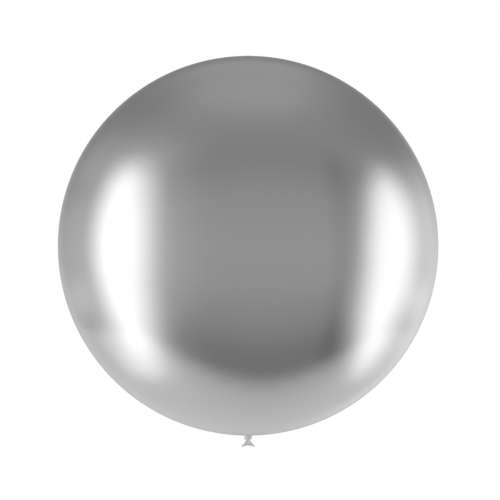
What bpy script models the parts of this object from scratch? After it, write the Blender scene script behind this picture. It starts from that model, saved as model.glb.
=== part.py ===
# Giant round latex balloon, blown up and tied off with an overhand knot in its own neck.
# Metres, +Z up. The origin is the middle of the round envelope and the knot hangs at -Z.
# The mouth below the knot is pressed flat, its wide way along X.

import math

import bmesh
import bpy

# Envelope: the blown-up film, a touch wider than tall
ENVELOPE_WIDTH = 0.900
ENVELOPE_HEIGHT = 0.897
FILM = 0.0010
ROUND_STEPS = 64
RINGS = 32

# Clearance between pieces that touch on the real balloon
GAP = 0.0003

# Thick spot at the top, where the dipping mould ended
SPOT_WIDTH = 0.046
SPOT_FILM = 0.0022
SPOT_RISE = 0.0006
SPOT_RINGS = 4

# Neck: the pleated throat in the envelope's bottom opening
NECK_OPENING_WIDTH = 0.018
PLEATS = 9
PLEAT_POINTS = 4
PLEAT_DEPTH = 0.12
THROAT_DROP = 0.0009
THROAT_WIDTH = 0.0080

# Knot: one strand of bunched film, thickest where it wraps round itself
STRAND = 0.0042
STRAND_SIDES_RESOLUTION = 3
STRAND_RESOLUTION = 3
KNOT_TALLNESS = 1.12
KNOT_CENTRE_DROP = 0.0062
STRAND_END = 1.60
# The strand's route from the neck to the middle of its wrap, in strand thicknesses:
# turn about the neck's axis in degrees, distance from the axis, height above the knot's middle,
# and how thick the strand is there. The other half is the same route turned over.
HALF_ROUTE = [
    (-90, 0.00, STRAND_END, 1.00),
    (-90, 0.00, 1.45, 1.00),
    (-60, 0.05, 1.25, 1.00),
    (-25, 0.10, 1.00, 1.00),
    (-15, 0.20, 0.80, 1.00),
    (15, 0.45, 0.45, 1.00),
    (20, 0.55, 0.15, 1.00),
    (40, 0.85, -0.30, 1.00),
    (65, 1.20, -0.55, 1.00),
    (100, 1.55, -0.55, 1.00),
    (140, 1.95, -0.50, 1.05),
    (190, 1.90, -0.30, 1.20),
    (235, 1.50, 0.20, 1.35),
    (260, 1.30, 0.10, 1.35),
    (270, 1.30, 0.00, 1.35),
]
FULL_ROUTE_TURN = 540
# Room round the strand's two ends, at the rim of the socket that holds each
NECK_SOCKET_ROOM = 0.0010
TAIL_SOCKET_ROOM = 0.0008

# Tail: the slack end of the neck, a funnel pressed flat and open at the mouth
TAIL_TOP_DROP = 0.0122
TAIL_TOP_HALF_WIDTH = 0.0040
TAIL_TOP_HALF_DEPTH = 0.0035
TAIL_HALF_DEPTH = 0.0024
TAIL_FLAT_FROM = 0.4
TAIL_WALL = 0.0010
TAIL_RINGS = 7
TAIL_HOLLOW_FROM = 0.45
SECTION_POINTS = 6
MOUTH_HALF_WIDTH = 0.0155
MOUTH_CENTRE_DROP = 0.0243
MOUTH_TIP_DROP = 0.0268

# Rolled bead round the mouth
LIP = 0.0032
LIP_POINTS = 36

# Metallic silver latex: blown up thin, the thick spot at the top, and slack at the neck
BLOWN_LATEX = (0.61, 0.61, 0.62, 1.0)
BLOWN_ROUGHNESS = 0.19
CROWN_LATEX = (0.52, 0.52, 0.53, 1.0)
CROWN_ROUGHNESS = 0.29
SLACK_LATEX = (0.88, 0.88, 0.89, 1.0)
SLACK_ROUGHNESS = 0.45

BOTTOM = -ENVELOPE_HEIGHT / 2
MERGE = 0.00001


def clear_scene():
    for thing in list(bpy.data.objects):
        bpy.data.objects.remove(thing, do_unlink=True)


def make_collection(name):
    collection = bpy.data.collections.new(name)
    bpy.context.scene.collection.children.link(collection)
    return collection


def latex(name, colour, roughness):
    material = bpy.data.materials.new(name)
    material.use_nodes = True
    shader = material.node_tree.nodes["Principled BSDF"]
    shader.inputs["Base Color"].default_value = colour
    shader.inputs["Metallic"].default_value = 1.0
    shader.inputs["Roughness"].default_value = roughness
    return material


def add_object(name, data, collection, material, angle=40):
    thing = bpy.data.objects.new(name, data)
    collection.objects.link(thing)
    data.materials.append(material)
    if thing.type == "MESH":
        data.shade_smooth()
        data.set_sharp_from_angle(angle=math.radians(angle))
    return thing


def turn(thing, steps):
    # Turns a profile, drawn at +X from top to bottom, about the Z axis.
    screw = thing.modifiers.new("turn", "SCREW")
    screw.axis = "Z"
    screw.angle = math.tau
    screw.steps = steps
    screw.render_steps = steps
    screw.use_merge_vertices = True
    screw.merge_threshold = MERGE
    screw.use_smooth_shade = True


def profile_mesh(name, points):
    mesh = bpy.data.meshes.new(name)
    edges = [(i, i + 1) for i in range(len(points) - 1)]
    mesh.from_pydata([(x, 0.0, z) for x, z in points], edges, [])
    return mesh


def polar(radius):
    # Angle from the top pole at which the envelope's outer face has this radius.
    return math.asin(radius / (ENVELOPE_WIDTH / 2))


def on_envelope(angle, rise=0.0):
    wide = ENVELOPE_WIDTH / 2 + rise
    tall = ENVELOPE_HEIGHT / 2 + rise
    return wide * math.sin(angle), tall * math.cos(angle)


def spread(start, end, steps):
    return [start + (end - start) * i / steps for i in range(steps + 1)]


def make_envelope(collection, material):
    top = polar(SPOT_WIDTH / 2)
    bottom = math.pi - polar(NECK_OPENING_WIDTH / 2)
    angles = spread(top, math.pi / 2, RINGS // 2)[:-1] + spread(math.pi / 2, bottom, RINGS // 2)
    points = [on_envelope(angle) for angle in angles]
    envelope = add_object("envelope", profile_mesh("envelope", points), collection, material)
    turn(envelope, ROUND_STEPS)
    wall = envelope.modifiers.new("film", "SOLIDIFY")
    wall.thickness = FILM
    wall.offset = -1
    wall.use_even_offset = True
    return envelope


def make_crown_spot(collection, material):
    edge = polar(SPOT_WIDTH / 2 - GAP)
    outer = []
    for i in range(SPOT_RINGS + 1):
        angle = edge * i / SPOT_RINGS
        outer.append(on_envelope(angle, SPOT_RISE * (1 - (i / SPOT_RINGS) ** 2)))
    inner = []
    for i in range(SPOT_RINGS, -1, -1):
        angle = edge * i / SPOT_RINGS
        depth = FILM + (SPOT_FILM - FILM) * (1 - (i / SPOT_RINGS) ** 2)
        inner.append(on_envelope(angle, -depth))
    spot = add_object("crown_spot", profile_mesh("crown_spot", outer + inner), collection, material)
    turn(spot, ROUND_STEPS)
    return spot


def loft(name, rings, collection, material):
    # Joins each ring of points to the next and closes both ends.
    mesh = bpy.data.meshes.new(name)
    shape = bmesh.new()
    loops = [[shape.verts.new(point) for point in ring] for ring in rings]
    for one, two in zip(loops, loops[1:]):
        for i in range(len(one)):
            j = (i + 1) % len(one)
            shape.faces.new((one[i], one[j], two[j], two[i]))
    shape.faces.new(loops[0][::-1])
    shape.faces.new(loops[-1])
    bmesh.ops.recalc_face_normals(shape, faces=shape.faces)
    shape.to_mesh(mesh)
    shape.free()
    return add_object(name, mesh, collection, material)


def pleated_ring(radius, height, depth=0.0):
    count = PLEATS * PLEAT_POINTS
    ring = []
    for i in range(count):
        angle = math.tau * i / count
        reach = radius * (1 + depth * math.cos(PLEATS * angle))
        ring.append((reach * math.cos(angle), reach * math.sin(angle), height))
    return ring


def make_neck_gather(collection, material):
    rim = NECK_OPENING_WIDTH / 2 - GAP
    rim_height = -on_envelope(polar(rim))[1]
    throat = THROAT_WIDTH / 2
    hole_top = STRAND / 2 + 2 * GAP
    hole_bottom = STRAND / 2 + NECK_SOCKET_ROOM
    ceiling = BOTTOM - KNOT_CENTRE_DROP + STRAND_END * STRAND * KNOT_TALLNESS + GAP
    lower = BOTTOM - THROAT_DROP
    middle = (rim + throat) / 2
    rings = [
        pleated_ring(hole_top, ceiling),
        pleated_ring(hole_bottom, lower),
        pleated_ring(throat, lower),
        pleated_ring(middle, (lower + rim_height) / 2, PLEAT_DEPTH),
        pleated_ring(rim, rim_height),
        pleated_ring(rim, rim_height + FILM),
        pleated_ring(middle, ceiling + FILM / 2, PLEAT_DEPTH / 2),
        pleated_ring(hole_top, ceiling + FILM),
    ]
    return loft("neck_gather", rings, collection, material)


def strand_points():
    # The whole route as points in metres, in the knot's own frame, each with its thickness.
    back = [
        (FULL_ROUTE_TURN - turned, away, -height, thick)
        for turned, away, height, thick in HALF_ROUTE[:-1]
    ]
    points = []
    for turned, away, height, thick in HALF_ROUTE + back[::-1]:
        angle = math.radians(turned)
        x = away * STRAND * math.cos(angle)
        y = away * STRAND * math.sin(angle)
        points.append((x, y, height * STRAND, thick))
    return points


def make_knot(collection, material):
    curve = bpy.data.curves.new("knot", "CURVE")
    curve.dimensions = "3D"
    curve.bevel_depth = STRAND / 2
    curve.bevel_resolution = STRAND_SIDES_RESOLUTION
    curve.resolution_u = STRAND_RESOLUTION
    curve.use_fill_caps = True
    points = strand_points()
    spline = curve.splines.new("NURBS")
    spline.points.add(len(points) - 1)
    for point, (x, y, z, thick) in zip(spline.points, points):
        point.co = (x, y, z, 1.0)
        point.radius = thick
    spline.order_u = 4
    spline.use_endpoint_u = True
    spline.use_smooth = True
    knot = add_object("knot", curve, collection, material)
    knot.location = (0, 0, BOTTOM - KNOT_CENTRE_DROP)
    knot.scale = (1, 1, KNOT_TALLNESS)
    return knot


def pressed_section(half_width, half_depth):
    # Two straight sides and two half-round ends, as (x, y), from the right end's front.
    straight = half_width - half_depth
    section = []
    for i in range(SECTION_POINTS):
        angle = math.pi * (i / SECTION_POINTS - 0.5)
        section.append((straight + half_depth * math.cos(angle), half_depth * math.sin(angle)))
    for i in range(SECTION_POINTS):
        section.append((straight * (1 - 2 * i / SECTION_POINTS), half_depth))
    return section + [(-x, -y) for x, y in section]


def tail_half_width(down):
    # Flares like a trumpet from the waist to the mouth; down runs from 0 to 1.
    mouth = MOUTH_HALF_WIDTH - LIP / 2
    return TAIL_TOP_HALF_WIDTH * (mouth / TAIL_TOP_HALF_WIDTH) ** down


def tail_half_depth(down):
    share = min(down / TAIL_FLAT_FROM, 1.0)
    ease = share * share * (3 - 2 * share)
    return TAIL_TOP_HALF_DEPTH + (TAIL_HALF_DEPTH - TAIL_TOP_HALF_DEPTH) * ease


def mouth_drop(share):
    # How far below the envelope the lip's underside lies, at this share of the half width.
    return MOUTH_CENTRE_DROP + (MOUTH_TIP_DROP - MOUTH_CENTRE_DROP) * share * share


def tail_ring(down, inset=0.0):
    half_width = tail_half_width(down)
    half_depth = tail_half_depth(down)
    edge = LIP + GAP
    ring = []
    for x, y in pressed_section(half_width - inset, half_depth - inset):
        share = abs(x) / half_width
        reach = mouth_drop(share * down) - edge - TAIL_TOP_DROP
        ring.append((x, y, BOTTOM - TAIL_TOP_DROP - reach * down))
    return ring


def round_section(radius, height):
    # As many points as a tail section, in the same order, on a circle.
    count = len(pressed_section(1, 1))
    ring = []
    for i in range(count):
        angle = math.tau * i / count - math.pi / 2 + math.pi / 4
        ring.append((radius * math.cos(angle), radius * math.sin(angle), height))
    return ring


def make_tail(collection, material):
    strand_end = BOTTOM - KNOT_CENTRE_DROP - STRAND_END * STRAND * KNOT_TALLNESS
    outside = [tail_ring(i / TAIL_RINGS) for i in range(TAIL_RINGS + 1)]
    hollow = []
    for i in range(4):
        down = 1 - (1 - TAIL_HOLLOW_FROM) * i / 3
        hollow.append(tail_ring(down, TAIL_WALL))
    rings = [
        round_section(STRAND / 2 + 2 * GAP, strand_end - GAP),
        round_section(STRAND / 2 + TAIL_SOCKET_ROOM, BOTTOM - TAIL_TOP_DROP),
        *outside,
        *hollow,
    ]
    return loft("tail", rings, collection, material)


def make_rolled_lip(collection, material):
    curve = bpy.data.curves.new("rolled_lip", "CURVE")
    curve.dimensions = "3D"
    curve.bevel_depth = LIP / 2
    curve.bevel_resolution = 2
    spline = curve.splines.new("POLY")
    spline.points.add(LIP_POINTS - 1)
    half_width = MOUTH_HALF_WIDTH - LIP / 2
    half_depth = TAIL_HALF_DEPTH - TAIL_WALL / 2
    for i, point in enumerate(spline.points):
        angle = math.tau * i / LIP_POINTS
        x = half_width * math.cos(angle)
        y = half_depth * math.sin(angle)
        drop = mouth_drop(abs(math.cos(angle))) - LIP / 2
        point.co = (x, y, BOTTOM - drop, 1.0)
    spline.use_cyclic_u = True
    spline.use_smooth = True
    return add_object("rolled_lip", curve, collection, material)


def main():
    clear_scene()
    parts = make_collection("giant_latex_balloon")
    blown = latex("blown_latex", BLOWN_LATEX, BLOWN_ROUGHNESS)
    crown = latex("crown_latex", CROWN_LATEX, CROWN_ROUGHNESS)
    slack = latex("slack_latex", SLACK_LATEX, SLACK_ROUGHNESS)
    make_envelope(parts, blown)
    make_crown_spot(parts, crown)
    make_neck_gather(parts, slack)
    make_knot(parts, slack)
    make_tail(parts, slack)
    make_rolled_lip(parts, slack)


main()
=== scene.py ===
import math

import bmesh
import bpy
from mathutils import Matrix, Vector, noise


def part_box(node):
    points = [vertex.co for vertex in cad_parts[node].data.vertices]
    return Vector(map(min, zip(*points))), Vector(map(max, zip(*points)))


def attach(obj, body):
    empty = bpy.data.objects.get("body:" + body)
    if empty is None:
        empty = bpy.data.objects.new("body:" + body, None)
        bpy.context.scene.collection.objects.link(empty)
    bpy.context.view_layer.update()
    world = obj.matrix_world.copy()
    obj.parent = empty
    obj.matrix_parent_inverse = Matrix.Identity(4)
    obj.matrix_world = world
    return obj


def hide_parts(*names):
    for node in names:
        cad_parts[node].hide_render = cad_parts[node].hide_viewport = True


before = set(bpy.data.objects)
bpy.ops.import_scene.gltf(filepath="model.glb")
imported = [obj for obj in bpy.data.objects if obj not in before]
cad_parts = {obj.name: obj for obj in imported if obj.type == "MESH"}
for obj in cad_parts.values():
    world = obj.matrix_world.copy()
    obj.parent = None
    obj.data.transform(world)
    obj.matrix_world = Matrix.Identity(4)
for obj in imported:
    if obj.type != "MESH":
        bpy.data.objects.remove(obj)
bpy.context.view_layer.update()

# Giant round latex balloon with a silver chrome finish, tied off with a knot in its own neck.
# Metres, +Z up. The knot hangs at -Z and the camera looks along +Y.

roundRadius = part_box("envelope")[1].x
roundBottom = -0.4491  # underside of the round skin, at the axis
print("frame loaded, balloon", round(2 * roundRadius, 3), "m wide")


# Helpers for edit mode. A ring's points each remember their turn round the axis, also when it is extruded.

def deselectAll():
    if bpy.context.mode != "OBJECT":
        bpy.ops.object.mode_set(mode="OBJECT")
    bpy.ops.object.select_all(action="DESELECT")


def makeActive(piece):
    deselectAll()
    piece.select_set(True)
    bpy.context.view_layer.objects.active = piece


def startEditing(piece):
    makeActive(piece)
    bpy.ops.object.mode_set(mode="EDIT")
    bpy.ops.mesh.select_mode(type="VERT")


def pickVerts(piece, test):
    bpy.ops.mesh.select_all(action="DESELECT")
    shape = bmesh.from_edit_mesh(piece.data)
    for vert in shape.verts:
        vert.select = test(vert.co)
    shape.select_flush(True)
    bmesh.update_edit_mesh(piece.data)


def rememberTurns(piece):
    shape = bmesh.from_edit_mesh(piece.data)
    turns = shape.verts.layers.float.new("turn")
    for vert in shape.verts:
        vert[turns] = math.atan2(vert.co.y, vert.co.x)
    bmesh.update_edit_mesh(piece.data)


def placeRing(piece, place):
    shape = bmesh.from_edit_mesh(piece.data)
    turns = shape.verts.layers.float["turn"]
    for vert in shape.verts:
        if vert.select:
            vert.co = place(vert[turns])
    bmesh.update_edit_mesh(piece.data)


def growRing(piece, place):
    bpy.ops.mesh.extrude_region_move()
    placeRing(piece, place)


def startRing(around):
    deselectAll()
    bpy.ops.mesh.primitive_circle_add(vertices=around, radius=0.01)
    piece = bpy.context.object
    startEditing(piece)
    bpy.ops.mesh.select_all(action="SELECT")
    rememberTurns(piece)
    return piece


def roundRing(away, height):
    return lambda turn: Vector((away * math.cos(turn), away * math.sin(turn), height))


def closeRing():  # draws the picked ring together into one point
    bpy.ops.mesh.merge(type="CENTER")


def pointFacesOut():
    bpy.ops.mesh.select_all(action="SELECT")
    bpy.ops.mesh.remove_doubles(threshold=1e-6)
    bpy.ops.mesh.normals_make_consistent(inside=False)
    bpy.ops.object.mode_set(mode="OBJECT")


def useModifier(piece, kind, **settings):
    makeActive(piece)
    modifier = piece.modifiers.new(kind.lower(), kind)
    for key, value in settings.items():
        setattr(modifier, key, value)
    bpy.ops.object.modifier_apply(modifier=modifier.name)


def sculpt(piece, move):  # moves each point along its own normal
    mesh = piece.data
    shifts = [vert.normal * move(vert.co) for vert in mesh.vertices]
    for vert, shift in zip(mesh.vertices, shifts):
        vert.co += shift
    mesh.update()


def finishPiece(piece, name, material, slot, *nodes):
    makeActive(piece)
    bpy.ops.object.transform_apply(location=True, rotation=True, scale=True)
    bpy.ops.object.shade_smooth()
    piece.name = piece.data.name = name
    piece.data.materials.clear()
    piece.data.materials.append(material)
    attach(piece, "root")
    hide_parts(*nodes)
    print("made", name, "with", len(piece.data.polygons), "faces")


def ease(value, start, end):
    share = min(max((value - start) / (end - start), 0.0), 1.0)
    return share * share * (3 - 2 * share)


# Latex with metal pigment: mirror-like where it is blown up, satin where it is slack


def addNode(tree, kind, **settings):
    node = tree.nodes.new(kind)
    for key, value in settings.items():
        setattr(node, key, value)
    return node


def feed(tree, socket, value):  # with a plain number or another node's output
    if isinstance(value, (int, float)):
        socket.default_value = value
    else:
        tree.links.new(value, socket)


def mapValues(tree, source, fromLow, fromHigh, toLow, toHigh):
    node = addNode(tree, "ShaderNodeMapRange", interpolation_type="SMOOTHSTEP")
    tree.links.new(source, node.inputs["Value"])
    for name, value in zip(("From Min", "From Max", "To Min", "To Max"), (fromLow, fromHigh, toLow, toHigh)):
        node.inputs[name].default_value = value
    return node.outputs["Result"]


def mathNode(tree, operation, *values):
    node = addNode(tree, "ShaderNodeMath", operation=operation)
    for socket, value in zip(node.inputs, values):
        feed(tree, socket, value)
    return node.outputs[0]


def vectorNode(tree, operation, vector, other=None):
    node = addNode(tree, "ShaderNodeVectorMath", operation=operation)
    tree.links.new(vector, node.inputs[0])
    if other is not None:
        node.inputs[1].default_value = other
    return node


def along(tree, coords, axis):
    return vectorNode(tree, "DOT_PRODUCT", coords, axis).outputs["Value"]


def noiseValue(tree, coords, size, detail, rough=0.5):
    node = addNode(tree, "ShaderNodeTexNoise")
    tree.links.new(coords, node.inputs["Vector"])
    node.inputs["Scale"].default_value = 1 / size
    node.inputs["Detail"].default_value = detail
    node.inputs["Roughness"].default_value = rough
    return node.outputs["Fac"]


def addBump(tree, shader, height, depth, strength=1.0):  # each new one rests on those before it
    bump = addNode(tree, "ShaderNodeBump")
    bump.inputs["Strength"].default_value = strength
    bump.inputs["Distance"].default_value = depth
    tree.links.new(height, bump.inputs["Height"])
    if shader.inputs["Normal"].links:
        tree.links.new(shader.inputs["Normal"].links[0].from_socket, bump.inputs["Normal"])
    tree.links.new(bump.outputs["Normal"], shader.inputs["Normal"])


cloudNoise = (0.3, 0.7)  # between these the film goes from its thickest to its thinnest


def latexMaterial(name, look):
    material = bpy.data.materials.new(name)
    material.use_nodes = True
    tree = material.node_tree
    shader = tree.nodes["Principled BSDF"]
    shader.inputs["Metallic"].default_value = look["metallic"]
    coords = addNode(tree, "ShaderNodeTexCoord").outputs["Object"]

    # Clouds of slightly thicker and thinner film, seen as tone and as gloss
    clouds = noiseValue(tree, coords, look["cloudSize"], detail=3.0)
    thin = mapValues(tree, clouds, *cloudNoise, look["thinFrom"], 1)
    flat = vectorNode(tree, "MULTIPLY", coords, (1, 1, 0)).outputs["Vector"]
    away = vectorNode(tree, "LENGTH", flat).outputs["Value"]
    if "thickTo" in look:  # the film of the round skin is thicker near its throat and its crown
        thin = mathNode(tree, "MULTIPLY", thin, mapValues(tree, away, *look["thickTo"], 0, 1))
    ramp = addNode(tree, "ShaderNodeValToRGB")
    tree.links.new(thin, ramp.inputs["Fac"])
    thick, pale = ramp.color_ramp.elements
    thick.position, thick.color = 0, (*look["thickTone"], 1)
    pale.position, pale.color = 1, (*look["thinTone"], 1)
    tree.links.new(ramp.outputs["Color"], shader.inputs["Base Color"])
    dull, glossy = look["roughness"]
    tree.links.new(mapValues(tree, thin, 0, 1, dull, glossy), shader.inputs["Roughness"])

    # The skin is slack round its throat: the metal pigment shows less there, and fine creases run outwards
    if "slack" in look:
        slack = look["slack"]
        below = mapValues(tree, along(tree, coords, (0, 0, 1)), *slack["heights"], 0, 1)
        share = mathNode(tree, "MULTIPLY", mapValues(tree, away, *slack["reach"], 1, 0), below)
        metal = mapValues(tree, share, 0, 1, look["metallic"], slack["metallic"])
        tree.links.new(metal, shader.inputs["Metallic"])
        shader.inputs["Specular IOR Level"].default_value = slack["shine"]
        ring = vectorNode(tree, "NORMALIZE", flat).outputs["Vector"]
        ring = vectorNode(tree, "MULTIPLY", ring, (slack["creases"],) * 3).outputs["Vector"]
        streaks = noiseValue(tree, ring, 1.0, detail=1.0)
        fade = mapValues(tree, away, *slack["creaseReach"], 1, 0)
        streaks = mathNode(tree, "MULTIPLY", streaks, mathNode(tree, "MULTIPLY", fade, below))
        addBump(tree, shader, streaks, slack["creaseDepth"])

    # Fine grain of the dipped film
    grain = noiseValue(tree, coords, look["grainSize"], detail=4.0, rough=0.6)
    addBump(tree, shader, grain, look["grainDepth"], look["grainStrength"])
    return material


blownLatex = latexMaterial("blown_latex", {
    "metallic": 1.0,
    "thickTone": (0.590, 0.590, 0.595),
    "thinTone": (0.614, 0.614, 0.619),
    "roughness": (0.380, 0.185),
    "cloudSize": 0.16,
    "thinFrom": 0.9,
    "thickTo": (0.050, 0.120),  # thick out to the first distance from the axis, thin from the second on
    "slack": {
        "heights": (-0.3, -0.4),  # only the underside is slack
        "reach": (0.055, 0.180),
        "metallic": 0.06,
        "shine": 0.05,
        "creases": 11,  # a higher number makes them finer
        "creaseReach": (0.030, 0.100),
        "creaseDepth": 0.00025,
    },
    "grainSize": 0.0012,
    "grainDepth": 0.00001,
    "grainStrength": 0.15,
})
crownLatex = latexMaterial("crown_latex", {
    "metallic": 1.0,
    "thickTone": (0.50, 0.50, 0.505),
    "thinTone": (0.54, 0.54, 0.545),
    "roughness": (0.32, 0.26),
    "cloudSize": 0.012,
    "thinFrom": 0,
    "grainSize": 0.0010,
    "grainDepth": 0.00003,
    "grainStrength": 0.3,
})
neckLatex = latexMaterial("neck_latex", {
    "metallic": 0.25,
    "thickTone": (0.70, 0.70, 0.705),
    "thinTone": (0.80, 0.80, 0.805),
    "roughness": (0.45, 0.34),
    "cloudSize": 0.004,
    "thinFrom": 0,
    "grainSize": 0.0005,
    "grainDepth": 0.00004,
    "grainStrength": 0.4,
})
lipLatex = latexMaterial("lip_latex", {
    "metallic": 0.25,
    "thickTone": (0.66, 0.66, 0.665),
    "thinTone": (0.74, 0.74, 0.745),
    "roughness": (0.40, 0.30),
    "cloudSize": 0.003,
    "thinFrom": 0,
    "grainSize": 0.0004,
    "grainDepth": 0.00003,
    "grainStrength": 0.4,
})
print("latex finishes ready")


# Pleats run from the knot out over the skin. The skin and the gathered throat share them.

pleats = {
    "folds": 12,  # main folds round the throat
    "foldDepth": 0.00050,
    "foldReach": 0.013,  # how far out a fold fades to a third
    "creases": 35,  # fine creases between them
    "creaseDepth": 0.00016,
    "creaseReach": 0.030,
    "wander": 0.5,  # how much they stray to the side, at the throat and further out
    "wanderOut": 4.0,
    "bends": 1.7,
    "bendsOut": 3.1,
    "foldWander": 5,
    "creaseWander": 11,
    "uneven": 0.8,  # some run further than others
    "unevenBends": 5.0,
    "fadeFrom": 0.050,
    "end": 0.100,  # nothing goes further than this from the axis
}


def pleatHeight(point):
    away = math.hypot(point.x, point.y)
    if away > pleats["end"] or point.z > 0:
        return 0.0
    turn = math.atan2(point.y, point.x)
    ring = Vector((math.cos(turn), math.sin(turn), 0))
    wander = pleats["wander"] * noise.noise(ring * pleats["bends"])
    wander += pleats["wanderOut"] * away * noise.noise(ring * pleats["bendsOut"])
    length = 1 + pleats["uneven"] * noise.noise(ring * pleats["unevenBends"] + Vector((5, 1, 2)))
    folds = pleats["foldDepth"] * math.exp(-away / (pleats["foldReach"] * length))
    creases = pleats["creaseDepth"] * math.exp(-away / (pleats["creaseReach"] * length))
    height = folds * math.cos(pleats["folds"] * turn + pleats["foldWander"] * wander)
    height += creases * math.cos(pleats["creases"] * turn + pleats["creaseWander"] * wander)
    return height * (1 - ease(away, pleats["fadeFrom"], pleats["end"]))


# The blown-up skin: one thin round film, open only at its throat

skin = {
    "around": 288,
    "rings": 110,
    "coarseTo": 0.100,  # the rings inside this radius are finer, for the pleats
    "fineRings": 32,
    "throat": 0.0086,
    "film": 0.0008,
}


def onSkin(away):  # height of the round skin's underside at this distance from the axis
    return roundBottom * math.sqrt(1 - (away / roundRadius) ** 2)


def makeSkin():
    deselectAll()
    bpy.ops.mesh.primitive_uv_sphere_add(
        segments=skin["around"], ring_count=skin["rings"], radius=roundRadius)
    piece = bpy.context.object
    startEditing(piece)
    bpy.ops.mesh.select_all(action="SELECT")
    bpy.ops.transform.resize(value=(1, 1, -roundBottom / roundRadius))
    rememberTurns(piece)
    pickVerts(piece, lambda co: co.z < 0 and math.hypot(co.x, co.y) < skin["coarseTo"])
    bpy.ops.mesh.delete(type="VERT")
    lowest = min(vert.co.z for vert in bmesh.from_edit_mesh(piece.data).verts)
    pickVerts(piece, lambda co: co.z < lowest + 1e-5)
    start = roundRadius * math.sqrt(1 - (lowest / roundBottom) ** 2)
    step = (skin["throat"] / start) ** (1 / skin["fineRings"])
    for ring in range(skin["fineRings"]):
        away = start * step ** (ring + 1)
        growRing(piece, roundRing(away, onSkin(away)))
    pointFacesOut()
    sculpt(piece, pleatHeight)
    useModifier(piece, "SOLIDIFY", thickness=skin["film"], offset=-1)
    return piece


finishPiece(makeSkin(), "envelope_skin", blownLatex, "blown_latex", "envelope")


# Thick spot at the top, where the last latex ran together on the dipping mould

crown = {
    "around": 96,
    "rings": 26,
    "radius": 0.0226,
    "rise": 0.00050,
    "bead": 0.00022,  # low ring near its edge
    "beadAt": 0.80,
    "beadWidth": 0.09,
    "beadEnd": 0.9,
    "bud": 0.00035,  # small drop in its middle
    "budWidth": 0.0022,
    "edge": 0.00003,  # it ends this high above the film
    "underRings": 5,  # one ring of the underside for this many on top
    "sunk": 0.0004,  # the underside lies this deep in the film
}


def crownRise(away):
    share = away / crown["radius"]
    dome = crown["rise"] * (1 - share ** 2) ** 1.5
    bead = crown["bead"] * math.exp(-((share - crown["beadAt"]) / crown["beadWidth"]) ** 2)
    bead *= 1 - ease(share, crown["beadEnd"], 1.0)
    bud = crown["bud"] * math.exp(-(away / crown["budWidth"]) ** 2)
    return dome + bead + bud + crown["edge"]


def makeCrownSpot():
    piece = startRing(crown["around"])
    aways = [crown["radius"] * (1 - ring / crown["rings"]) for ring in range(crown["rings"])]
    placeRing(piece, roundRing(crown["radius"], -onSkin(crown["radius"]) - crown["sunk"]))
    for away in aways:
        growRing(piece, roundRing(away, -onSkin(away) + crownRise(away)))
    closeRing()
    lowest = -onSkin(crown["radius"]) - crown["sunk"]
    pickVerts(piece, lambda co: co.z < lowest + 1e-6)
    for away in aways[1::crown["underRings"]]:
        growRing(piece, roundRing(away, -onSkin(away) - crown["sunk"]))
    closeRing()
    pointFacesOut()
    return piece


finishPiece(makeCrownSpot(), "crown_patch", crownLatex, "crown_latex", "crown_spot")


# Gathered throat: the film folds together, swells out over the knot and turns in to its strand

throat = {
    "around": 240,
    # Each ring's distance from the axis and its fall below the skin
    "profile": [(0.0092, 0.0), (0.0092, 0.0006), (0.0090, 0.0013), (0.0087, 0.0020), (0.0082, 0.0027),
                (0.0074, 0.0034), (0.0060, 0.0038), (0.0026, 0.0038)],
    "under": 0.0006,  # its outer edge starts this far inside the skin
    "folds": 0.00050,
    "foldsFrom": 0.0002,  # the folds of the throat begin at this fall and are full at the next
    "foldsTo": 0.0012,
    "usualDepth": 0.7,  # no two folds are alike
    "unevenBends": 2.3,
    "foldWander": 9,
}


def makeThroat():
    piece = startRing(throat["around"])
    outer = throat["profile"][0][0]
    start = onSkin(outer) + throat["under"]
    placeRing(piece, roundRing(outer, start))
    for away, fall in throat["profile"]:
        growRing(piece, roundRing(away, onSkin(outer) - fall))
    inside = throat["profile"][-1][0]
    growRing(piece, roundRing(inside, start))
    growRing(piece, roundRing(outer, start))
    pointFacesOut()
    useModifier(piece, "SUBSURF", levels=1, render_levels=1)

    def foldedThroat(point):
        fall = onSkin(outer) - point.z
        turn = math.atan2(point.y, point.x)
        ring = Vector((math.cos(turn), math.sin(turn), 0))
        wander = pleats["wander"] * noise.noise(ring * pleats["bends"])
        share = ease(fall, throat["foldsFrom"], throat["foldsTo"])
        deep = throat["usualDepth"] + noise.noise(ring * throat["unevenBends"] + Vector((2, 7, 4)))
        folds = throat["folds"] * deep * math.cos(pleats["folds"] * turn + throat["foldWander"] * wander)
        return share * folds + (1 - share) * pleatHeight(point) * ease(fall, -throat["under"], 0)

    sculpt(piece, foldedThroat)
    return piece


finishPiece(makeThroat(), "neck_pleats", neckLatex, "neck_latex", "neck_gather")


# Knot: one strand of bunched film in a tight overhand knot

knot = {
    "strand": 0.0042,
    "tallness": 1.12,  # the route's heights are stretched by this
    "centreDrop": 0.0058,  # its middle, below the round skin's underside
    "sides": 20,  # every second one is a crease
    "crease": 0.88,
    "perPoint": 6,
    "twist": 20,  # degrees from one point to the next
    "lump": 0.00020,
    "lumpSize": 0.0030,
    "halfHeight": 0.0045,
    "square": 0.29,  # its top and bottom are drawn out this much towards the shape of a barrel
    "sag": 0.0016,  # the loop's low side hangs down this much more
    "sagFrom": 0.002,
    "sagTo": 0.0075,
    "sagHeights": (-0.4, 0.5),  # where it begins and is full, in half heights below the middle
}
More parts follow.
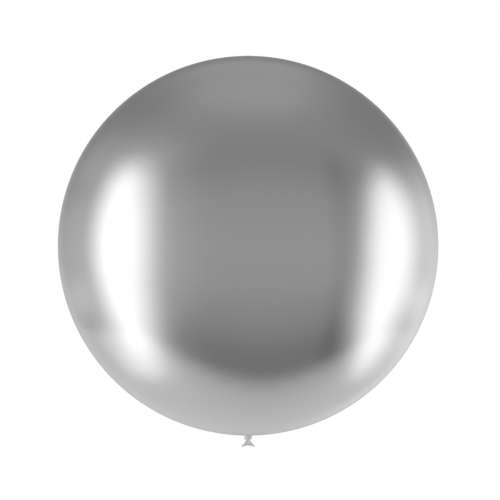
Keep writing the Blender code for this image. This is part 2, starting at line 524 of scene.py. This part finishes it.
# Half of the strand's route, in strand thicknesses: turn about the axis in degrees, distance from it,
# height above the knot's middle, and how thick the strand is. The other half is the same turned over.
knotRoute = [
    (-90, 0.00, 1.60, 1.10),
    (-90, 0.00, 1.45, 1.10),
    (-60, 0.05, 1.25, 1.15),
    (-25, 0.10, 1.00, 1.20),
    (-15, 0.20, 0.80, 1.25),
    (15, 0.45, 0.45, 1.30),
    (20, 0.55, 0.15, 1.35),
    (40, 0.80, -0.20, 1.45),
    (65, 1.00, -0.35, 1.60),
    (100, 1.27, -0.35, 1.75),
    (140, 1.44, -0.30, 1.90),
    (190, 1.39, -0.15, 2.05),
    (235, 1.12, 0.12, 2.10),
    (260, 1.03, 0.06, 2.05),
    (270, 1.03, 0.00, 2.05),
]


def strandSection(name, radius, sides, crease):  # a round section with a crease between each two folds
    deselectAll()
    bpy.ops.mesh.primitive_circle_add(vertices=sides, radius=radius)
    section = bpy.context.object
    section.name = name
    startEditing(section)
    shape = bmesh.from_edit_mesh(section.data)
    for vert in shape.verts:
        vert.select = vert.index % 2 == 0
    bmesh.update_edit_mesh(section.data)
    bpy.ops.transform.resize(value=(crease, crease, 1))
    bpy.ops.object.mode_set(mode="OBJECT")
    bpy.ops.object.convert(target="CURVE")
    return bpy.context.object


def startRoute(name, section, kind, count):
    route = bpy.data.curves.new(name, "CURVE")
    route.dimensions = "3D"
    route.bevel_mode = "OBJECT"
    route.bevel_object = section
    spline = route.splines.new(kind)
    spline.points.add(count - 1)
    return route, spline


def sweepRoute(route, section):  # the section runs along the route and becomes a smooth mesh
    piece = bpy.data.objects.new(route.name, route)
    bpy.context.scene.collection.objects.link(piece)
    makeActive(piece)
    bpy.ops.object.convert(target="MESH")
    piece = bpy.context.object
    bpy.data.objects.remove(section)
    startEditing(piece)
    pointFacesOut()
    useModifier(piece, "SUBSURF", levels=2, render_levels=2)
    return piece


def makeKnot():
    section = strandSection("knot_section", knot["strand"] / 2, knot["sides"], knot["crease"])
    middle = roundBottom - knot["centreDrop"]
    middleTurn = knotRoute[-1][0]
    back = [(2 * middleTurn - turn, away, -height, thick) for turn, away, height, thick in knotRoute[:-1]]
    stations = knotRoute + back[::-1]
    route, spline = startRoute("knot_route", section, "NURBS", len(stations))
    route.use_fill_caps = True
    route.resolution_u = knot["perPoint"]
    for number, (point, (turn, away, height, thick)) in enumerate(zip(spline.points, stations)):
        reach = away * knot["strand"]
        angle = math.radians(turn)
        point.co = (reach * math.cos(angle), reach * math.sin(angle),
                    middle + height * knot["strand"] * knot["tallness"], 1)
        point.radius = thick
        point.tilt = math.radians(knot["twist"] * number)
    spline.order_u = 4
    spline.use_endpoint_u = True
    piece = sweepRoute(route, section)
    sculpt(piece, lambda co: knot["lump"] * noise.noise(co / knot["lumpSize"]))
    for vert in piece.data.vertices:
        fall = (middle - vert.co.z) / knot["halfHeight"]
        lowSide = ease(vert.co.x, knot["sagFrom"], knot["sagTo"])
        vert.co.z -= knot["sag"] * lowSide * ease(fall, *knot["sagHeights"])
        off = min(abs(fall), 1.0)
        vert.co.x *= 1 + knot["square"] * off * off
        vert.co.y *= 1 + knot["square"] * off * off
    piece.data.update()
    return piece


finishPiece(makeKnot(), "knot_strand", neckLatex, "neck_latex", "knot")


# Tail: the slack end of the neck, gathered at the waist and pressed flat towards its mouth

tail = {
    "around": 192,
    "rings": 36,
    "topDrop": 0.0122,  # below the round skin's underside
    "capRings": [(0.0016, 0.0016), (0.0026, 0.0012)],  # turned in at its top: distance from the axis, rise
    "topWidth": 0.0038,
    "topDepth": 0.0034,
    "mouthWidth": 0.0139,
    "mouthDepth": 0.0020,
    "flatFrom": 0.55,  # share of the way down
    "film": 0.0006,
    "gathers": 11,
    "gatherDepth": 0.00045,
    "gatherLoss": 0.85,  # this much of a gather is pressed out where it is flat
    "gatherWander": 1.5,
    "gatherBends": 1.3,
    "boxy": 0.4,  # the flat part has blunter ends
    "wave": 0.00075,  # the flat part sways to and fro by this
    "waveLength": 0.0094,
    "waveFrom": 0.1,
    "waveTo": 0.7,
    "ridgeAt": 0.0019,  # a ridge of the wave stands here
    "intoBead": 0.0003,  # the film ends this deep in the bead
}
mouth = {
    "centreDrop": 0.0243,  # the bead's underside, below the round skin's underside
    "tipDrop": 0.0273,
    "bead": 0.0032,
}


def mouthHeight(share):  # of the bead's underside, at this share of the half width
    return roundBottom - mouth["centreDrop"] - (mouth["tipDrop"] - mouth["centreDrop"]) * share * share


def tailWave(x, down):
    sway = math.cos(2 * math.pi * (x - tail["ridgeAt"]) / tail["waveLength"])
    return -tail["wave"] * ease(down, tail["waveFrom"], tail["waveTo"]) * sway


def tailRing(down):
    pressed = ease(down, 0, tail["flatFrom"])
    width = tail["topWidth"] * (tail["mouthWidth"] / tail["topWidth"]) ** down
    depth = tail["topDepth"] + (tail["mouthDepth"] - tail["topDepth"]) * pressed
    top = roundBottom - tail["topDrop"]

    def place(turn):
        cosine, sine = math.cos(turn), math.sin(turn)
        blunt = math.copysign(abs(sine) ** (1 - tail["boxy"] * pressed), sine)
        ring = Vector((cosine, sine, 0))
        wander = tail["gatherWander"] * noise.noise(ring * tail["gatherBends"] + Vector((0, 0, down)))
        gather = tail["gatherDepth"] * (1 - tail["gatherLoss"] * pressed)
        gather *= math.cos(tail["gathers"] * turn + wander)
        x = (width + gather) * cosine
        y = (depth + gather) * blunt + tailWave(x, down)
        drop = (top - (mouthHeight(cosine * down) + mouth["bead"] - tail["intoBead"])) * down
        return Vector((x, y, top - drop))

    return place


def makeTail():
    piece = startRing(tail["around"])
    (firstAway, firstRise), (nextAway, nextRise) = tail["capRings"]
    placeRing(piece, roundRing(firstAway, roundBottom - tail["topDrop"] + firstRise))
    growRing(piece, roundRing(nextAway, roundBottom - tail["topDrop"] + nextRise))
    for ring in range(tail["rings"] + 1):
        growRing(piece, tailRing(ring / tail["rings"]))
    pointFacesOut()
    useModifier(piece, "SOLIDIFY", thickness=tail["film"], offset=-1)
    return piece


finishPiece(makeTail(), "tail_sleeve", neckLatex, "neck_latex", "tail")


# Rolled bead round the mouth

lip = {
    "points": 120,
    "sides": 16,
    "crease": 0.95,
    "pathWidth": 0.0139,
    "pathDepth": 0.0018,
    "wrinkle": 0.00010,
    "wrinkleSize": 0.0011,
}


def lipPath(share):  # two long sides joined by half-round ends
    straight = lip["pathWidth"] - lip["pathDepth"]
    side, bend = 2 * straight, math.pi * lip["pathDepth"]
    away = share * 2 * (side + bend)
    flip = 1
    if away >= side + bend:
        away -= side + bend
        flip = -1
    if away < side:
        x, y = straight - away, lip["pathDepth"]
    else:
        turn = math.pi / 2 + (away - side) / lip["pathDepth"]
        x, y = -straight + lip["pathDepth"] * math.cos(turn), lip["pathDepth"] * math.sin(turn)
    x, y = flip * x, flip * y
    return Vector((x, y + tailWave(x, 1), mouthHeight(x / lip["pathWidth"]) + mouth["bead"] / 2))


def makeLip():
    section = strandSection("lip_section", mouth["bead"] / 2, lip["sides"], lip["crease"])
    route, spline = startRoute("lip_route", section, "POLY", lip["points"])
    for number, point in enumerate(spline.points):
        point.co = (*lipPath(number / lip["points"]), 1)
    spline.use_cyclic_u = True
    piece = sweepRoute(route, section)
    sculpt(piece, lambda co: lip["wrinkle"] * noise.noise(co / lip["wrinkleSize"]))
    return piece


finishPiece(makeLip(), "rolled_rim", lipLatex, "lip_latex", "rolled_lip")


# Camera at the photo's angle: level with the balloon, from far away

camera = {
    "distance": 7.0,
    "frameWidth": 1.185,  # what the picture spans at the balloon
    "right": 0.0045,  # the balloon sits a little left of the middle and a little above it
    "up": -0.0101,
    "seesTo": 60,
}


def makeCamera():
    bpy.ops.object.camera_add(
        location=(camera["right"], -camera["distance"], camera["up"]), rotation=(math.radians(90), 0, 0))
    view = bpy.context.object
    view.data.lens = view.data.sensor_width * camera["distance"] / camera["frameWidth"]
    view.data.clip_end = camera["seesTo"]
    bpy.context.scene.camera = view


# Pale floor that fades out into the white backdrop

floor = {
    "height": -1.0,
    "radius": 2.6,
    "fadeFrom": 1.3,
    "tone": 0.86,
    "roughness": 0.9,
    "around": 96,
}


def makeFloor():
    deselectAll()
    bpy.ops.mesh.primitive_circle_add(
        vertices=floor["around"], radius=floor["radius"], fill_type="NGON", location=(0, 0, floor["height"]))
    paper = bpy.context.object
    paper.name = "studio_floor"
    material = bpy.data.materials.new("studio_paper")
    material.use_nodes = True
    tree = material.node_tree
    shader = tree.nodes["Principled BSDF"]
    shader.inputs["Base Color"].default_value = (floor["tone"], floor["tone"], floor["tone"], 1)
    shader.inputs["Roughness"].default_value = floor["roughness"]
    coords = addNode(tree, "ShaderNodeTexCoord").outputs["Object"]
    away = vectorNode(tree, "LENGTH", coords).outputs["Value"]
    shown = mapValues(tree, away, floor["fadeFrom"], floor["radius"], 1, 0)
    tree.links.new(shown, shader.inputs["Alpha"])
    paper.data.materials.append(material)
    paper.visible_glossy = False  # the mirror skin shows the studio light only


# Soft studio light all round. Every place is given as the spot where it shows on the front of the mirror
# skin: 0 is the middle, 1 the rim, and each edge of a light comes with its softness.

room = {
    # Tone by height, from the pale floor below to the ceiling
    "tones": {-1: 0.76, -0.85: 0.72, -0.755: 0.61, -0.655: 0.25, -0.54: 0.28, -0.40: 0.37,
              -0.20: 0.45, 0: 0.46, 0.25: 0.42, 0.47: 0.33, 0.62: 0.36, 1: 0.27},
    "bend": 1.38,  # level lines curve towards the middle at the sides
    "bendAt": 0.07,
    "bendTo": 0.42,
    "behind": (0.68, 0.25),  # far behind the balloon, below its middle and above it
    "behindHeights": (-0.45, 0.40),
    "behindEdge": (0.970, 0.026),
    "fill": 0.95,  # even light that dull surfaces get, such as the floor and the slack neck
    "paper": 1.0,  # the backdrop as the camera sees it
}
softLights = {
    "left strip": {"side": -1, "near": (0.53, 0.14), "rim": (0.778, 0.085), "top": (0.41, 0.12),
                   "foot": (-0.75, 0.06), "lean": -0.02, "bright": 1.35},
    "left spill": {"side": -1, "near": (0.36, 0.22), "rim": (0.95, 0.08), "top": (0.60, 0.20),
                   "foot": (-0.68, 0.10), "bright": 0.17},
    "left foot": {"side": -1, "near": (0.43, 0.11), "rim": (0.88, 0.06), "top": (-0.32, 0.20),
                  "foot": (-0.69, 0.06), "bright": 0.42},
    "left edge": {"side": -1, "near": (0.82, 0.06), "top": (-0.20, 0.12),
                  "foot": (-0.47, 0.06), "bright": 0.28},
    "left shade": {"side": -1, "near": (0.66, 0.06), "top": (-0.51, 0.05),
                   "foot": (-0.90, 0.08), "bright": -0.11},  # below zero it takes light away
    "right strip": {"side": 1, "near": (0.62, 0.09), "rim": (0.84, 0.08), "top": (0.37, 0.12),
                    "foot": (-0.76, 0.06), "lean": 0.05, "bright": 1.20},
    "right spill": {"side": 1, "near": (0.80, 0.10), "top": (0.37, 0.16),
                    "foot": (-0.65, 0.12), "bright": 0.42},
    "right foot": {"side": 1, "near": (0.52, 0.08), "rim": (0.92, 0.07), "top": (-0.28, 0.20),
                   "foot": (-0.70, 0.06), "bright": 0.45},
    "right edge": {"side": 1, "near": (0.84, 0.08), "top": (-0.22, 0.12),
                   "foot": (-0.46, 0.08), "bright": 0.30},
    "right flag": {"side": 1, "near": (0.445, 0.03), "far": (0.53, 0.05), "top": (0.45, 0.10),
                   "foot": (-0.60, 0.10), "bow": 0.26, "bright": -0.07},
    "top glow": {"side": 1, "near": (-0.40, 0.25), "far": (0.40, 0.25), "top": (1.20, 0.10),
                 "foot": (0.68, 0.12), "bright": 0.15},
}
# These are placed by their direction from the balloon: 0 is straight behind it, 1 straight beside it
backLights = {
    "right wall": {"side": 1, "near": (0.17, 0.16), "top": (0.12, 0.16),
                   "foot": (-0.60, 0.30), "bright": 0.30},
    "left wall": {"side": -1, "near": (0.17, 0.16), "top": (0.10, 0.16),
                  "foot": (-0.60, 0.30), "bright": 0.12},
}


def risingEdge(tree, value, edge):
    place, soft = edge
    return mapValues(tree, value, place - soft, place + soft, 0, 1)


def fallingEdge(tree, value, edge):
    place, soft = edge
    return mapValues(tree, value, place - soft, place + soft, 1, 0)


def toneByHeight(tree, height, tones):
    node = addNode(tree, "ShaderNodeValToRGB")
    ramp = node.color_ramp
    while len(ramp.elements) < len(tones):
        ramp.elements.new(0.5)
    for element, (place, tone) in zip(ramp.elements, tones.items()):
        element.position = place / 2 + 0.5  # the heights run from -1 to 1, the ramp from 0 to 1
        element.color = (tone, tone, tone, 1)
    tree.links.new(mathNode(tree, "MULTIPLY_ADD", height, 0.5, 0.5), node.inputs["Fac"])
    return node.outputs["Color"]


def softLight(tree, across, up, out, light):
    sideways = mathNode(tree, "MULTIPLY", across, light["side"])
    sideways = mathNode(tree, "MULTIPLY_ADD", up, -light.get("lean", 0.0), sideways)
    bow = mathNode(tree, "POWER", up, 2.0)
    sideways = mathNode(tree, "MULTIPLY_ADD", bow, light.get("bow", 0.0), sideways)
    glow = mathNode(tree, "MULTIPLY", risingEdge(tree, sideways, light["near"]), light["bright"])
    glow = mathNode(tree, "MULTIPLY", glow, fallingEdge(tree, up, light["top"]))
    glow = mathNode(tree, "MULTIPLY", glow, risingEdge(tree, up, light["foot"]))
    if "far" in light:
        glow = mathNode(tree, "MULTIPLY", glow, fallingEdge(tree, sideways, light["far"]))
    if "rim" in light:
        glow = mathNode(tree, "MULTIPLY", glow, fallingEdge(tree, out, light["rim"]))
    return glow


def mixNumbers(tree, share, low, high):
    node = addNode(tree, "ShaderNodeMix", data_type="FLOAT")
    for name, value in zip(("Factor", "A", "B"), (share, low, high)):
        feed(tree, node.inputs[name], value)
    return node.outputs["Result"]


def makeStudioLight():
    world = bpy.data.worlds.new("studio_light")
    bpy.context.scene.world = world
    world.use_nodes = True
    tree = world.node_tree
    coords = addNode(tree, "ShaderNodeTexCoord").outputs["Generated"]

    # A mirror that shows this direction to someone in front of the balloon faces halfway between the two
    between = vectorNode(tree, "ADD", coords, (0, -1, 0)).outputs["Vector"]
    facing = vectorNode(tree, "NORMALIZE", between).outputs["Vector"]
    across = along(tree, facing, (1, 0, 0))
    up = along(tree, facing, (0, 0, 1))
    out = mathNode(tree, "SQRT", mathNode(tree, "ADD", mathNode(tree, "POWER", across, 2.0),
                                          mathNode(tree, "POWER", up, 2.0)))

    off = mathNode(tree, "POWER", mathNode(tree, "SUBTRACT", across, room["bendAt"]), 2.0)
    bend = mathNode(tree, "MULTIPLY_ADD", mathNode(tree, "MINIMUM", off, room["bendTo"]), room["bend"], 1.0)
    total = toneByHeight(tree, mathNode(tree, "MULTIPLY", up, bend), room["tones"])
    for light in softLights.values():
        total = mathNode(tree, "ADD", total, softLight(tree, across, up, out, light))
    height = along(tree, coords, (0, 0, 1))
    aside = along(tree, coords, (1, 0, 0))
    behind = mapValues(tree, height, *room["behindHeights"], *room["behind"])
    for light in backLights.values():
        behind = mathNode(tree, "ADD", behind, softLight(tree, aside, height, out, light))
    total = mixNumbers(tree, risingEdge(tree, out, room["behindEdge"]), total, behind)
    total = mathNode(tree, "MAXIMUM", total, 0.0)

    # Dull surfaces get the even fill, and the camera itself sees plain white paper
    path = addNode(tree, "ShaderNodeLightPath")
    total = mixNumbers(tree, path.outputs["Is Diffuse Ray"], total, room["fill"])
    total = mixNumbers(tree, path.outputs["Is Camera Ray"], total, room["paper"])
    background = tree.nodes["Background"]
    background.inputs["Color"].default_value = (1, 1, 1, 1)
    tree.links.new(total, background.inputs["Strength"])
    bpy.context.scene.view_settings.view_transform = "Standard"


makeCamera()
makeFloor()
makeStudioLight()
print("studio ready")
